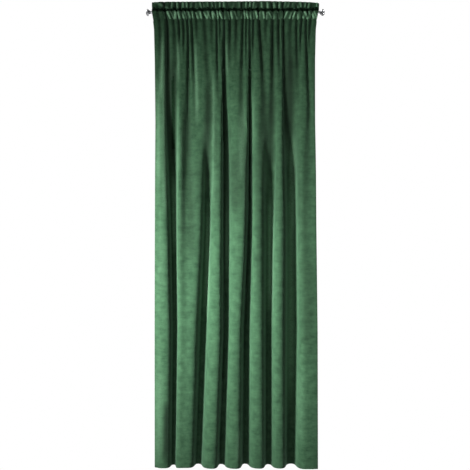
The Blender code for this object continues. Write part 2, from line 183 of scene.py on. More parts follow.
curtain = {
    "flatWidth": 1.400,
    "thickness": 0.0015,
    "smoothUnder": 60,
    "hem": -2.4268,
    "upperStitch": 0.0165,
    "lowerStitch": -0.040,
    "turningEnd": -0.052,
    "stitchGap": 0.0064,         # between the front layer and the back one where they are sewn
    "headerGap": 0.0095,
    "bottomHem": 0.100,
    "sideHem": 0.022,
    "hemLayer": 0.0021,          # from one layer of a hem to the next
    "hemBlend": 0.03,            # the bottom hem stands off further near a side hem, from so far away
    "hemTurn": (45, 90, 135),    # angles of the lines in a hem's turning
    "hemStop": 3,                # rows under the pocket where the side hems end
    # The main folds' crests and valleys, in mm from the middle at the five foldHeights; shallow, deep
    # and low are shares of foldDepth, towards the back, at the three depthHeights; before and after
    # say how flat the turn is on its left and on its right, at the first two of those heights
    "foldHeights": (-0.17, -0.52, -1.14, -1.70, -2.44),
    "foldDepth": 0.034,
    "depthHeights": (-0.40, -1.20, -1.80),
    "usualBreadth": 0.125,
    "folds": (
        # heading, upper, middle, lower, hem, shallow, deep, low, before, after, before, after
        (-398, -394, -378, -360, -376, -0.70, -0.85, -0.85, 0.80, 0.90, 0.80, 0.95),
        (-345, -338, -334, -328, -332, 0.60, 0.90, 0.90, 0.45, 0.75, 0.50, 0.70),
        (-309, -300, -296, -292, -308, -0.65, -0.95, -0.95, 0.10, 0.50, 0.50, 0.60),
        (-258, -259, -258, -260, -268, 0.05, -0.60, -0.90, 0.50, 0.30, 0.50, 0.40),
        (-216, -204, -198, -228, -248, -0.42, -0.72, -0.84, 0.40, 0.90, 0.50, 0.80),
        (-155, -140, -152, -174, -202, -0.70, 1.00, 1.00, 0.50, 0.40, 0.50, 0.45),
        (-86, -80, -82, -93, -120, -0.60, -0.95, -0.95, 0.70, 1.00, 0.95, 0.90),
        (-65, -64, -62, -53, -79, 0.90, 0.90, 0.90, 0.10, 0.20, 0.50, 0.45),
        (52, 57, 44, 10, 5, -0.65, -0.95, -0.95, 0.90, 0.95, 0.95, 0.85),
        (78, 79, 76, 58, 50, 0.95, 1.00, 1.00, 0.20, 0.20, 0.50, 0.45),
        (125, 122, 120, 125, 134, -0.70, -0.90, -0.90, 1.00, 0.70, 0.95, 0.65),
        (198, 200, 190, 181, 176, -0.66, 0.90, 0.90, 0.80, 0.80, 0.50, 0.50),
        (244, 242, 238, 230, 240, -0.60, -0.85, -0.85, 0.60, 0.80, 0.90, 0.65),
        (285, 300, 315, 318, 303, 0.30, 0.95, 1.00, 0.90, 0.60, 0.70, 0.50),
        (335, 346, 360, 374, 372, -0.70, -0.95, -1.05, 0.50, 0.70, 0.90, 0.85),
    ),
    "leftDepth": (-0.20, -0.35, -0.35),
    "rightDepth": (-0.45, -0.85, -0.95),
    "edgeRound": 0.30,
    "growthLength": 0.80,
    "growthExponent": 1.5,
    "flatGrowth": 0.15,          # how soon a turn gets its flat part as the folds grow
    "leastScale": 0.2,           # the folds are scaled between this and mostScale, which goes by drop
    "mostScale": ((0.0, 1.0), (0.20, 1.1), (0.45, 1.6), (0.70, 2.3), (2.5, 2.3)),
    "scaleTries": 20,
    "edges": (
        # height, left, right
        (57, -445, 448), (14, -444, 446), (0, -443, 443), (-40, -438, 434), (-93, -432, 428),
        (-254, -428, 424), (-600, -424, 423), (-1150, -427, 428), (-1700, -428, 434), (-2440, -428, 436),
    ),
    # Gathers under the stitching: the valley's place and how far down it runs, in mm, its depth as a
    # share of the usual one, and how many mm to the right it has moved at driftLength further down
    "gatherDepth": 0.60,
    "usualPitch": 0.029,
    "pitchExponent": 0.3,
    "gatherSharpness": 1.5,
    "gatherScaleLimit": 1.0,
    "spreadLength": 0.55,
    "spreadLimit": 2.2,
    "gathers": (
        (-404, 500, 0.5, 0), (-366, 1300, 1.2, -3), (-328, 500, 0.6, 14), (-301, 250, 0.9, 0),
        (-278, 250, 1.0, 0), (-253, 1500, 1.1, -6), (-235, 800, 0.8, 12), (-205, 150, 0.5, 0),
        (-162, 1100, 0.5, 20), (-121, 200, 0.5, 0), (-98, 600, 1.0, 0), (-80, 200, 0.5, 0),
        (-60, 1300, 1.2, -5), (-28, 380, 0.8, 0), (9, 300, 0.6, 0), (44, 1400, 0.8, -6),
        (61, 350, 0.6, 0), (79, 1300, 1.0, 5), (97, 400, 0.8, 0), (127, 1200, 0.8, 44),
        (170, 200, 0.5, 0), (202, 1200, 0.9, 10), (234, 400, 0.8, 24), (256, 1300, 1.0, 20),
        (303, 250, 0.5, 0), (330, 700, 0.7, 22), (357, 350, 0.8, 0), (380, 1500, 0.8, 28),
        (403, 300, 0.7, 0),
    ),
    "driftLength": 0.45,
    "columnStep": 0.00135,       # across the gathered width, in the header and the pocket's front
    "dropKeeps": 3,              # outside them every third column is kept
    "lowKeeps": 6,               # and below thinBelow every sixth
    "thinBelow": -0.30,
    "dropSteps": (
        # from, to, step, in metres
        (-2.4268, -2.345, 0.0105), (-2.345, -2.305, 0.006), (-2.305, -0.62, 0.036), (-0.62, -0.30, 0.022),
        (-0.30, -0.12, 0.012), (-0.12, -0.055, 0.0065), (-0.055, -0.040, 0.004),
    ),
    "pocketStep": 0.0036,
    "pocketSlant": 0.012,
    "straightEdge": 0.125,
    # How far the pocket stands off the stitched layers at each height in mm, as a share of the most
    "pocketBulge": ((-40, 0.0), (-34, 0.42), (-24, 0.78), (-12, 0.97), (-4, 1.0), (0, 0.985), (4, 0.90),
                    (7, 0.75), (9, 0.60), (11, 0.40), (13.5, 0.14), (16.5, -0.08)),
    "pocketReach": 0.0110,
    "headerRows": 12,
    "headerFlat": 0.80,          # how much of the gathers' depth the header loses towards its top
    "headerPuff": 0.0035,        # how far its front stands out above the stitching
    "headerOpens": 0.5,          # the share of its height in which its layers part
    "headerHeight": 0.044,       # above the upper stitching, on the average
    "headerLine": ((-445, 53), (-400, 57), (0, 59), (160, 61), (350, 57), (415, 54), (448, 48)),
    "topFoldRows": 4,
    "topFoldRound": 0.8,         # height of the turned edge as a share of its half thickness
    # Creases of the pocket's front, one by one: its place in mm, how far it leans to the right for
    # each mm of height, then its half breadth and how far it stands out, in mm
    "puckers": {
        "middle": -22, "low": -45, "high": 1, "fade": 12, "seam": (-40, 3), "full": 3.7,
        "rows": ("frontPucker", "frontUpper"),
        "creases": (
            (-378, -0.1, 3.7, 1.8), (-353, -0.4, 3.7, 4.5), (-336, -0.5, 2.8, 3.4),
            (-334, -0.65, 3.3, 4.5), (-318, 0, 4.4, 5.3), (-300, -0.3, 3.7, 4.3), (-279, -0.45, 3.7, 4.4),
            (-264, -0.4, 2.8, 3.4), (-262, -0.1, 3, 3.4), (-244, -0.3, 3.7, 4.3), (-226, -0.1, 2.8, 2.6),
            (-204, -0.38, 3.7, 3.7), (-183, -0.25, 4.4, 4), (-158, -0.65, 3.7, 3.8), (-144, 0.2, 3, 2.9),
            (-140, -0.5, 2.6, 2.4), (-119, -0.05, 4.4, 4.3), (-109, -0.6, 2.8, 3.4), (-93, -0.1, 3, 3.1),
            (-77, -0.45, 3.7, 4.4), (-60, -0.35, 3.7, 4.3), (-36, -0.25, 3.7, 4.5), (-19, -0.2, 3.3, 4.1),
            (3, -0.45, 4.1, 3.7), (34, 0.1, 2.6, 2.2), (35, 0, 3, 1.8), (51, -0.1, 3, 2.8),
            (63, -0.35, 3.3, 4), (79, -0.3, 3.3, 3.7), (95, -0.3, 2.8, 3.2), (96, -0.1, 3.3, 4.3),
            (113, -0.2, 3.7, 4.5), (130, 0, 3.7, 4.6), (151, -0.2, 3.7, 5), (168, 0, 4.4, 5.4),
            (185, -0.6, 3, 2.6), (201, -0.3, 5.2, 4.9), (229, -0.25, 3, 2.8), (230, -0.4, 3, 3),
            (250, 0, 3, 2.5), (268, 0.5, 3.3, 3.7), (294, 0.35, 4.4, 4.4), (312, 0.35, 3, 4.3),
            (331, -0.2, 4.4, 5.3), (358, -0.4, 3.3, 3.4), (377, -0.5, 4.4, 5), (397, -0.3, 2.6, 2.2),
            (413, -0.35, 4.1, 4.1), (427, -0.45, 3, 2.8),
        ),
    },
    # The same for the header
    "headerCreases": {
        "middle": 39, "low": 15, "high": 58, "fade": 10, "seam": (16.5, 3), "full": 5.0,
        "rows": ("frontUpper", "frontTop"),
        "creases": (
            (-402, -2.0, 12, 2.6), (-339, 0.1, 4.3, 3), (-310, -0.12, 4.3, 3.4), (-278, -0.06, 4.7, 3.4),
            (-259, -0.04, 3.4, 4), (-235, 0.1, 4.3, 1), (-210, 0.12, 4.3, 1.3), (-186, -0.28, 4.3, 4),
            (-170, -0.3, 3.4, 1.7), (-147, -0.2, 5.2, 2), (-124, -0.3, 3.4, 1.7), (-109, -0.08, 3.9, 3.5),
            (-82, 0, 3.9, 2.9), (-62, 0, 4.3, 4), (-37, 0.2, 4.3, 3), (-5, 0.2, 7.7, 2),
            (22, -0.1, 5.2, 1.9), (56, 0.2, 4.3, 3.9), (78, 0.22, 3.9, 3.4), (97, 0.22, 3.9, 2.9),
            (117, 0.28, 5.2, 2.2), (141, -0.05, 4.3, 3.4), (172, -0.08, 4.3, 3.9), (206, -0.2, 5.2, 2.9),
            (236, 0.05, 4.3, 3.7), (264, 0.38, 4.3, 2.4), (285, 0.35, 4.3, 1.9), (305, 0.2, 4.3, 1),
            (327, -0.5, 4.3, 1.7), (349, -0.22, 5.2, 3.8), (374, 0.2, 3.4, 2.4), (392, 0.25, 4.3, 2.9),
            (411, 0.1, 3.4, 1.9), (435, 0.1, 3.4, 3.9),
        ),
    },
    # Painted shade: a painted shadow in the groove of the upper seam, and darker colour along the
    # lower seam and on the header's turned edge, in mm
    "groove": {"low": -4.0, "high": 20.5, "edge": 3.0, "overlap": 0.5, "uneven": (3.5, 6.0), "pitch": 8.0,
               "reach": 480, "seed": 7},
    "paintedShadeFrom": 0.85,
    "lowerSeam": {"height": -40.5, "reach": 4.5, "share": 0.5, "uneven": 0.4},
    "valley": {"full": 0.0140, "share": 0.80, "power": 1.2},     # painted shade down in the gathers' valleys, by their depth
    "topEdgeShare": 0.7,
    # Painted highlights and painted shade in long streaks down the folds, in mm: place at the top and at
    # the bottom, the heights they run between and their half breadth, then how much lighter or, below 0,
    # darker
    "shades": (
        # top place, bottom place, top, bottom, breadth, share
        (-331, -331, -150, -940, 20, -0.95), (-149, -146, -310, -1080, 18, -0.8),
        (153, 164, -360, -820, 19, -0.45), (193, 193, -360, -950, 16, -0.65),
        (-244, -242, -460, -850, 21, -0.42), (-364, -372, -2030, -2440, 14, -0.9),
        (-311, -274, -1030, -1540, 10, -0.2), (292, 294, -80, -820, 29, -0.85),
        (318, 324, -470, -1030, 25, -0.4), (-274, -274, -790, -1320, 13, -0.5),
        (-295, -290, -980, -1480, 14, -0.28), (-226, -236, -680, -1430, 40, -0.36),
        (4, -2, -670, -1140, 48, -0.5), (228, 228, -570, -1270, 14, -0.3),
        (126, 116, -950, -1540, 13, -0.25), (361, 366, -740, -1700, 29, -0.35),
        (-348, -343, -950, -2180, 10, -0.5), (-68, -71, -790, -2180, 10, -0.5),
        (62, 52, -570, -1970, 11, -0.45), (254, 254, -840, -2180, 10, -0.4), (82, 81, -250, -740, 9, -0.35),
        (-391, -396, -90, -510, 9, 0.36), (-407, -407, -310, -1000, 14, 0.13),
        (-391, -391, -1030, -1540, 21, 0.03), (-377, -375, -230, -790, 12, 0.3),
        (22, 17, -2210, -2410, 12, 0.14), (-302, -308, -120, -410, 8, 0.24),
        (-214, -204, -120, -630, 9, 0.24), (-117, -118, -250, -830, 7, 0.2),
        (-50, -42, -120, -360, 9, 0.16), (-306, -309, -360, -950, 7, 0.16), (95, 95, -390, -760, 7, 0.1),
        (41, 30, -440, -950, 15, 0.2), (294, 292, -760, -2230, 24, 0.3), (305, 310, -590, -1300, 14, 0.34),
        (-28, -28, -560, -830, 11, -0.32), (-106, -103, -630, -950, 14, -0.25),
        (-47, -50, -570, -1540, 13, 0.28), (188, 185, -870, -1700, 13, 0.34),
        (-148, -154, -950, -1700, 12, 0.3), (-329, -329, -820, -1320, 10, 0.22),
        (-404, -407, -1830, -2480, 27, 0.085), (345, 345, -1860, -2340, 21, 0.05),
        (382, 388, -1170, -1920, 43, -0.42), (108, 116, -640, -1200, 16, -0.3),
        (-103, -103, -890, -1160, 22, -0.25), (220, 225, -690, -1200, 17, -0.34),
        (337, 342, -710, -1200, 17, -0.42), (164, 164, -640, -1000, 22, 0.16),
        (-156, -156, -720, -1000, 17, 0.16), (-372, -369, -550, -1140, 11, 0.18),
        (-44, -42, -600, -1080, 9, 0.2), (57, 54, -680, -1140, 9, 0.22),
        (-255, -255, -670, -900, 12, -0.26), (-274, -274, -590, -840, 10, 0.18),
        (318, 316, -610, -870, 13, -0.36), (273, 276, -600, -850, 16, 0.2),
        (-118, -119, -710, -1060, 6, 0.13), (372, 366, -670, -950, 11, -0.22),
        (156, 156, -620, -790, 16, 0.14), (-156, -154, -570, -910, 16, 0.16),
    ),
    "shadeFade": 0.30,           # the share of its length in which a shade comes in and goes out
    "fineSteps": 2400,
    "spanSteps": 24,
}


def edgesAt(height):
    heights, lefts, rights = np.array(curtain["edges"][::-1]).T * mm
    return np.interp(height, heights, lefts), np.interp(height, heights, rights)


def foldTurns(height, scale):
    # Each turn of the main folds as (x, y, flat before, flat after), from the left edge to the right
    drop = max(curtain["lowerStitch"] - height, 0.0)
    growth = 1.0 - math.exp(-(drop / curtain["growthLength"]) ** curtain["growthExponent"])
    depth = curtain["foldDepth"] * growth * scale
    left, right = edgesAt(height)
    table = np.array(curtain["folds"], float)
    foldHeights = np.negative(curtain["foldHeights"])
    across = [np.interp(-height, foldHeights, row[:5]) * mm for row in table]
    places = [left] + across + [right]
    ends = (curtain["edgeRound"], curtain["edgeRound"])
    depthHeights = np.negative(curtain["depthHeights"])
    lower = np.interp(-height, depthHeights[:2], (0.0, 1.0))
    turns = [(left, np.interp(-height, depthHeights, curtain["leftDepth"]) * depth, *ends)]
    for index, row in enumerate(table, start=1):
        share = np.interp(-height, depthHeights, row[5:8])
        breadth = (places[index + 1] - places[index - 1]) / curtain["usualBreadth"]
        flat = row[8:10] + (row[10:12] - row[8:10]) * lower
        before, after = 0.5 + (flat - 0.5) * growth ** curtain["flatGrowth"]
        turns.append((places[index], share * depth * math.sqrt(breadth), before, after))
    turns.append((right, np.interp(-height, depthHeights, curtain["rightDepth"]) * depth, *ends))
    return turns


def mainFolds(height, scale):
    # S-curves between the turns, then the same line at even steps of cloth
    turns = foldTurns(height, scale)
    t = np.linspace(0.0, 1.0, curtain["spanSteps"], endpoint=False)
    start, near, far, end = (1 - t) ** 3, 3 * (1 - t) ** 2 * t, 3 * (1 - t) * t ** 2, t ** 3
    xs, ys = [], []
    for (x0, y0, _, after), (x1, y1, before, _) in zip(turns, turns[1:]):
        span = x1 - x0
        xs.append(start * x0 + near * (x0 + after * span) + far * (x1 - before * span) + end * x1)
        ys.append((start + near) * y0 + (far + end) * y1)
    x = np.append(np.concatenate(xs), turns[-1][0])
    y = np.append(np.concatenate(ys), turns[-1][1])
    lengths = np.concatenate(([0.0], np.cumsum(np.hypot(np.diff(x), np.diff(y)))))
    even = np.linspace(0.0, lengths[-1], curtain["fineSteps"])
    return np.interp(even, lengths, x), np.interp(even, lengths, y)


def gatherShares():
    left, right = edgesAt(curtain["lowerStitch"])
    valleys = [(row[0] * mm - left) / (right - left) for row in curtain["gathers"]]
    return [0.0] + valleys + [1.0]


def gatherDepths(height):
    # Depth of the gathers at one height, along the cloth's width
    across = np.linspace(0.0, 1.0, curtain["fineSteps"])
    drop = max(curtain["lowerStitch"] - height, 0.0)
    left, right = edgesAt(curtain["lowerStitch"])
    places = gatherShares()
    spread = min(1.0 + drop / curtain["spreadLength"], curtain["spreadLimit"])
    depth = np.zeros_like(across)
    for index, (place, run, share, drift) in enumerate(curtain["gathers"], start=1):
        fading = 1.0 - smoothStep(drop / (run * mm))
        if fading == 0.0:
            continue
        before = (places[index] - places[index - 1]) / 2
        after = (places[index + 1] - places[index]) / 2
        pitch = (before + after) * (right - left)
        size = curtain["usualPitch"] * (pitch / curtain["usualPitch"]) ** curtain["pitchExponent"]
        moved = drift * mm / (right - left) * min(drop / curtain["driftLength"], 1.0)
        offset = across - places[index] - moved
        reach = np.where(offset < 0, before, after) * spread
        wave = 0.5 + 0.5 * np.cos(np.pi * np.clip(offset / reach, -1.0, 1.0))
        notch = wave ** curtain["gatherSharpness"]
        depth += curtain["gatherDepth"] * share * size * fading * notch
    return depth


def section(height, scale, notches):
    # The cloth's line at one height, its depth centred on the rod
    x, y = mainFolds(height, scale)
    runX, runY = np.gradient(x), np.gradient(y)
    length = np.hypot(runX, runY)
    notch = notches * min(scale, curtain["gatherScaleLimit"])
    x = x - runY / length * notch
    y = y + runX / length * notch
    return x, y - (y.max() + y.min()) / 2


def fullSection(height):
    # Folds scaled until they take up the whole width of the cloth
    notches = gatherDepths(height)
    drops, limits = np.array(curtain["mostScale"]).T
    low, high = curtain["leastScale"], np.interp(curtain["lowerStitch"] - height, drops, limits)
    for _ in range(curtain["scaleTries"]):
        middle = (low + high) / 2
        x, y = section(height, middle, notches)
        if np.hypot(np.diff(x), np.diff(y)).sum() < curtain["flatWidth"]:
            low = middle
        else:
            high = middle
    return section(height, high, notches)


def columnShares():
    # Columns of the sheet, a multiple of lowKeeps from each gather's valley to the next
    left, right = edgesAt(curtain["lowerStitch"])
    places = gatherShares()
    shares = []
    for start, end in zip(places, places[1:]):
        steps = curtain["lowKeeps"]
        groups = max(1, round((end - start) * (right - left) / curtain["columnStep"] / steps))
        shares.extend(np.linspace(start, end, steps * groups, endpoint=False))
    return np.array(shares + [1.0])


def clothRow(height, shares):
    x, y = fullSection(height)
    along = np.linspace(0.0, 1.0, curtain["fineSteps"])
    climb = (height - curtain["lowerStitch"]) / (curtain["upperStitch"] - curtain["lowerStitch"])
    free = np.minimum(1.0, np.minimum(shares, 1.0 - shares) / curtain["straightEdge"])
    slant = -curtain["pocketSlant"] * min(max(climb, 0.0), 1.0) * free
    return np.interp(shares, along, x) + slant, np.interp(shares, along, y)


def pocketOffset(innermost, bulge):
    # How far a layer of the pocket stands off the line of the stitching
    most = curtain["pocketReach"] + innermost
    return curtain["stitchGap"] / 2 + (most - curtain["stitchGap"] / 2) * bulge


def pocketRow(side, height, shares):
    # One layer of the rod pocket, standing off the stitching round the rod
    x, y = clothRow(height, shares)
    offset = pocketOffset((-side * y).max(), smoothCurve(curtain["pocketBulge"], height / mm))
    return x, y + side * offset, np.full_like(x, height)


def headerRow(side, rise, shares):
    # One row of the header; its top edge follows headerLine
    stitch = curtain["upperStitch"]
    x, y = clothRow(stitch, shares)
    left, right = edgesAt(stitch)
    topLeft, topRight = edgesAt(curtain["headerLine"][0][1] * mm)
    middle = (left + right) / 2
    flare = (topRight - topLeft) / (right - left)
    x = middle + (x - middle) * (1.0 + (flare - 1.0) * min(rise, 1.0))
    places, tops = np.array(curtain["headerLine"]).T * mm
    top = np.interp(x, places, tops)
    pinch = 2 * pocketOffset(0.0, curtain["pocketBulge"][-1][1])
    gap = pinch + (curtain["headerGap"] - pinch) * smoothStep(rise / curtain["headerOpens"])
    puff = curtain["headerPuff"] * math.sin(math.pi * min(rise, 1.0)) if side < 0 else 0.0
    y = y * (1.0 - curtain["headerFlat"] * min(rise, 1.0))
    return x, y + side * (gap / 2 + puff), stitch + (top - stitch) * rise


def topFoldRows(shares):
    # The header's turned edge, a half round from the front layer to the back one
    radius = curtain["headerGap"] / 2
    x, y, z = headerRow(0, 1.0, shares)
    rows = []
    for step in range(1, curtain["topFoldRows"]):
        angle = math.pi * step / curtain["topFoldRows"]
        drop = radius * (1 - math.sin(angle)) * curtain["topFoldRound"]
        rows.append((x, y - radius * math.cos(angle), z - drop))
    return rows


def mainRows(shares):
    # Rows of the sheet from the hem up the front, over the header and down the back, and the names
    # of the rows that other pieces are placed by
    rows, marks = [], {}
    for height in spacedOut(curtain["dropSteps"])[:-1]:
        x, y = clothRow(height, shares)
        rows.append((x, y - curtain["stitchGap"] / 2, np.full_like(x, height)))
    low, high, step = curtain["lowerStitch"], curtain["upperStitch"], curtain["pocketStep"]
    highest = 1.0 - curtain["headerGap"] / 2 * curtain["topFoldRound"] / curtain["headerHeight"]
    rises = np.linspace(0.0, highest, curtain["headerRows"])[1:]
    marks["frontPucker"] = sum(row[2][0] < curtain["puckers"]["low"] * mm for row in rows)
    marks["frontLower"] = len(rows)
    rows += [pocketRow(-1, height, shares) for height in spacedOut([(low, high, step)])]
    marks["frontUpper"] = len(rows) - 1
    rows += [headerRow(-1, rise, shares) for rise in rises]
    marks["frontTop"] = len(rows) - 1
    rows += topFoldRows(shares)
    marks["backTop"] = len(rows)
    rows += [headerRow(1, rise, shares) for rise in rises[::-1]]
    marks["backUpper"] = len(rows)
    rows += [pocketRow(1, height, shares) for height in spacedOut([(high, low, step)])]
    marks["backLower"] = len(rows) - 1
    for height in spacedOut([(low, curtain["turningEnd"], step)])[1:]:
        x, y = clothRow(height, shares)
        rows.append((x, y + curtain["stitchGap"] / 2, np.full_like(x, height)))
    return np.array(rows).transpose(0, 2, 1), marks


def outward(grid):
    # Unit normals on the cloth's right side
    normals = np.cross(np.gradient(grid, axis=1), np.gradient(grid, axis=0))
    return normals / np.linalg.norm(normals, axis=2, keepdims=True)


def creaseHeights(grid, rows, table):
    # How far the creases of a table stand out at each point of some rows of the cloth
    x, z = grid[rows, :, 0] / mm, grid[rows, :, 2] / mm
    height = np.zeros_like(x)
    for place, slant, breadth, tall in table["creases"]:
        aside = (x - place - slant * (z - table["middle"])) / breadth
        height = np.maximum(height, tall * np.exp(-aside ** 2))
    height *= smoothStep((z - table["low"]) / table["fade"])
    height *= smoothStep((table["high"] - z) / table["fade"])
    seam, reach = table["seam"]
    return height * (1 - np.exp(-((z - seam) / reach) ** 2))


def unevenLine(x, table, turn):
    # A wavering line along the cloth, between -1 and 1
    draw = random.Random(table["seed"] + turn)
    places = np.arange(-table["reach"], table["reach"], table["pitch"])
    return np.interp(x, places, [draw.uniform(-1, 1) for _ in places])


def paintedFoldShades(grid):
    # The painted highlights and the painted shade of the fold streaks at each point of the cloth
    x, z = grid[..., 0] / mm, grid[..., 2] / mm
    lighter, darker = np.zeros(x.shape), np.zeros(x.shape)
    for topPlace, bottomPlace, top, bottom, breadth, share in curtain["shades"]:
        down = (top - z) / (top - bottom)
        aside = (x - topPlace - (bottomPlace - topPlace) * down) / breadth
        fade = smoothStep(down / curtain["shadeFade"]) * smoothStep((1 - down) / curtain["shadeFade"])
        amount = abs(share) * fade * np.exp(-aside ** 2)
        if share > 0:
            lighter = np.maximum(lighter, amount)
        else:
            darker = np.maximum(darker, amount)
    return lighter, darker


def paintedShadeShares(grid):
    # How darkened each point of the cloth is: a painted shadow in the upper seam's groove, darker along
    # the lower seam and on the header's turned edge, and painted shade down in the gathers
    groove, seam, valley = curtain["groove"], curtain["lowerSeam"], curtain["valley"]
    x, z = grid[..., 0] / mm, grid[..., 2] / mm
    row = np.arange(grid.shape[0])[:, None]
    low = groove["low"] + groove["uneven"][0] * unevenLine(x, groove, 0)
    high = groove["high"] + groove["uneven"][1] * unevenLine(x, groove, 1)
    inGroove = smoothStep((z - low) / groove["edge"])
    inGroove *= smoothStep((high - z) / groove["edge"] + groove["overlap"])
    onSeam = seam["share"] * (1 - smoothStep(np.abs(z - seam["height"]) / seam["reach"]))
    onSeam *= 1 - seam["uneven"] + seam["uneven"] * unevenLine(x, groove, 2)
    onEdge = curtain["topEdgeShare"] * ((row > marks["frontTop"]) & (row < marks["backTop"]))
    along = np.linspace(0.0, 1.0, curtain["fineSteps"])
    depths = [np.interp(shares, along, gatherDepths(height)) for height in grid[..., 2].mean(axis=1)]
    inValley = valley["share"] * np.clip(np.array(depths) / valley["full"], 0.0, 1.0) ** valley["power"]
    return np.maximum(np.maximum(inGroove, onSeam), np.maximum(onEdge, inValley))


shares = columnShares()
clothGrid, marks = mainRows(shares)
clothOut = outward(clothGrid)
# Painted highlight at each point of the cloth
paintedLight = np.zeros(clothGrid.shape[:2])
for name in ("puckers", "headerCreases"):
    table = curtain[name]
    first, last = table["rows"]
    rows = slice(marks[first], marks[last] + 1)
    heights = creaseHeights(clothGrid, rows, table)
    # The creases' ridges carry painted highlight, by how far they stand out
    paintedLight[rows] = heights / table["full"]
    clothGrid[rows] += clothOut[rows] * (heights * mm)[..., None]
clothOut = outward(clothGrid)
lighter, darker = paintedFoldShades(clothGrid)
# The pale painted streaks join the painted highlight
paintedLight = np.maximum(paintedLight, lighter)
# Painted shade, with the dark painted streaks laid in
paintedShade = 1 - (1 - paintedShadeShares(clothGrid)) * (1 - darker)
print("cloth laid out:", clothGrid.shape[:2], "rows and columns", marks)


def clothDistances():
    # How far each column and each row lies along the flat cloth
    middle = clothGrid.shape[1] // 2
    steps = np.linalg.norm(np.diff(clothGrid, axis=0), axis=2)
    upward = np.concatenate(([0.0], np.cumsum(np.median(steps, axis=1))))
    return shares * curtain["flatWidth"], upward


clothAcross, clothUp = clothDistances()


def linePlan(hemLines, lastLine, bothEnds):
    # For each line of the hemmed sheet the main line it follows, how far behind, and how far beyond
    angles = [math.radians(angle) for angle in curtain["hemTurn"]]
    turn = [(0.5 + 0.5 * math.cos(angle), math.sin(angle)) for angle in angles]
    plan = [(line, 1.0, 0.0) for line in range(hemLines, -1, -1)]
    plan += [(0, behind, beyond) for behind, beyond in turn]
    plan += [(line, 0.0, 0.0) for line in range(lastLine + 1)]
    if bothEnds:
        plan += [(lastLine, behind, -beyond) for behind, beyond in turn[::-1]]
        plan += [(line, 1.0, 0.0) for line in range(lastLine, lastLine - hemLines - 1, -1)]
    followed, behind, beyond = np.array(plan).T
    return followed.astype(int), behind, beyond


def hemmedGrid():
    # The whole sheet: the bottom hem turned up behind, the side hems turned in behind, and the rest
    layer, turnLines = curtain["hemLayer"], len(curtain["hemTurn"])
    hemRows = int(np.searchsorted(clothGrid[:, 0, 2], curtain["hem"] + curtain["bottomHem"]))
    sideColumns = int(np.searchsorted(clothAcross, curtain["sideHem"]))
    lastRow, lastColumn = clothGrid.shape[0] - 1, clothGrid.shape[1] - 1
    rows, rowBehind, rowBeyond = linePlan(hemRows, lastRow, False)
    columns, columnBehind, columnBeyond = linePlan(sideColumns, lastColumn, True)
    spot = np.ix_(rows, columns)
    place = clothGrid[spot].copy()
    fromSide = np.minimum(clothAcross, curtain["flatWidth"] - clothAcross)[columns]
    nearSide = 1.0 - smoothStep((fromSide - curtain["sideHem"]) / curtain["hemBlend"])
    hemDepth = layer * (1.0 + nearSide)
    behind = rowBehind[:, None] * hemDepth + columnBehind * layer * (1.0 - np.sign(rowBehind))[:, None]
    place -= clothOut[spot] * behind[..., None]
    place[..., 2] -= rowBeyond[:, None] * hemDepth / 2
    place[..., 0] -= columnBeyond * layer / 2
    firstRow, firstColumn = hemRows + turnLines + 1, sideColumns + turnLines + 1
    kept = {
        "firstRow": firstRow,
        "topRow": firstRow + marks["frontLower"] - curtain["hemStop"],
        "fineRows": (firstRow + marks["frontPucker"] - 1, firstRow + marks["backTop"] - 1),
        "firstColumn": firstColumn,
        "lastColumn": firstColumn + lastColumn,
        "columnSteps": [0, *range(sideColumns - 1, -1, -1), *[0] * turnLines, *range(lastColumn + 1),
                        *[0] * turnLines, *range(sideColumns), 0],
    }
    upward = np.where(rowBehind > 0, -clothUp[rows], clothUp[rows])
    across = clothAcross[columns]
    onLeft = np.arange(len(columns)) < len(columns) / 2
    across = np.where(columnBehind > 0, np.where(onLeft, 0.0, 2 * curtain["flatWidth"]) - across, across)
    return place, across, upward, kept, {"paintedLight": paintedLight[spot], "paintedShade": paintedShade[spot]}


def makeSheetMesh(name, place, across, upward, kept, tones):
    rowCount, columnCount = place.shape[:2]
    bpy.ops.mesh.primitive_grid_add(x_subdivisions=columnCount - 1, y_subdivisions=rowCount - 1, size=1.0)
    sheet = bpy.context.object
    sheet.name = name
    mesh = sheet.data
    mesh.name = name
    mesh.vertices.foreach_set("co", place.reshape(-1))
    corner = np.zeros(len(mesh.loops), int)
    mesh.loops.foreach_get("vertex_index", corner)
    flat = np.stack((across[corner % columnCount], upward[corner // columnCount]), axis=1)
    uvMap = mesh.uv_layers.active
    uvMap.name = "flatCloth"
    uvMap.data.foreach_set("uv", flat.reshape(-1))
    for tone, amounts in tones.items():
        mesh.attributes.new(tone, "FLOAT", "POINT").data.foreach_set("value", amounts.reshape(-1))
    trimSheet(mesh, columnCount, kept)
    return sheet


def trimSheet(mesh, columnCount, kept):
    # The side hems end under the pocket and above the bottom hem; outside the pocket's front and
    # the header fewer columns are kept, and still fewer in the low folds
    work = bmesh.new()
    work.from_mesh(mesh)
    lines = []
    for edge in work.edges:
        first, second = edge.verts
        row, column = max(first.index, second.index) // columnCount, first.index % columnCount
        along = column == second.index % columnCount
        fine = kept["fineRows"][0] < row <= kept["fineRows"][1]
        low = row < kept["topRow"] and max(first.co.z, second.co.z) < curtain["thinBelow"]
        keeps = 1 if fine else curtain["lowKeeps"] if low else curtain["dropKeeps"]
        if along and kept["columnSteps"][column] % keeps:
            lines.append(edge)
    spare = []
    for face in work.faces:
        rows = [corner.index // columnCount for corner in face.verts]
        columns = [corner.index % columnCount for corner in face.verts]
        turnedIn = min(columns) < kept["firstColumn"] or max(columns) > kept["lastColumn"]
        inside = min(rows) >= kept["firstRow"] and max(rows) <= kept["topRow"]
        if turnedIn and not inside:
            spare.append(face)
    bmesh.ops.delete(work, geom=spare, context="FACES")
    bmesh.ops.dissolve_edges(work, edges=[line for line in lines if line.is_valid], use_verts=True)
    work.to_mesh(mesh)
    work.free()


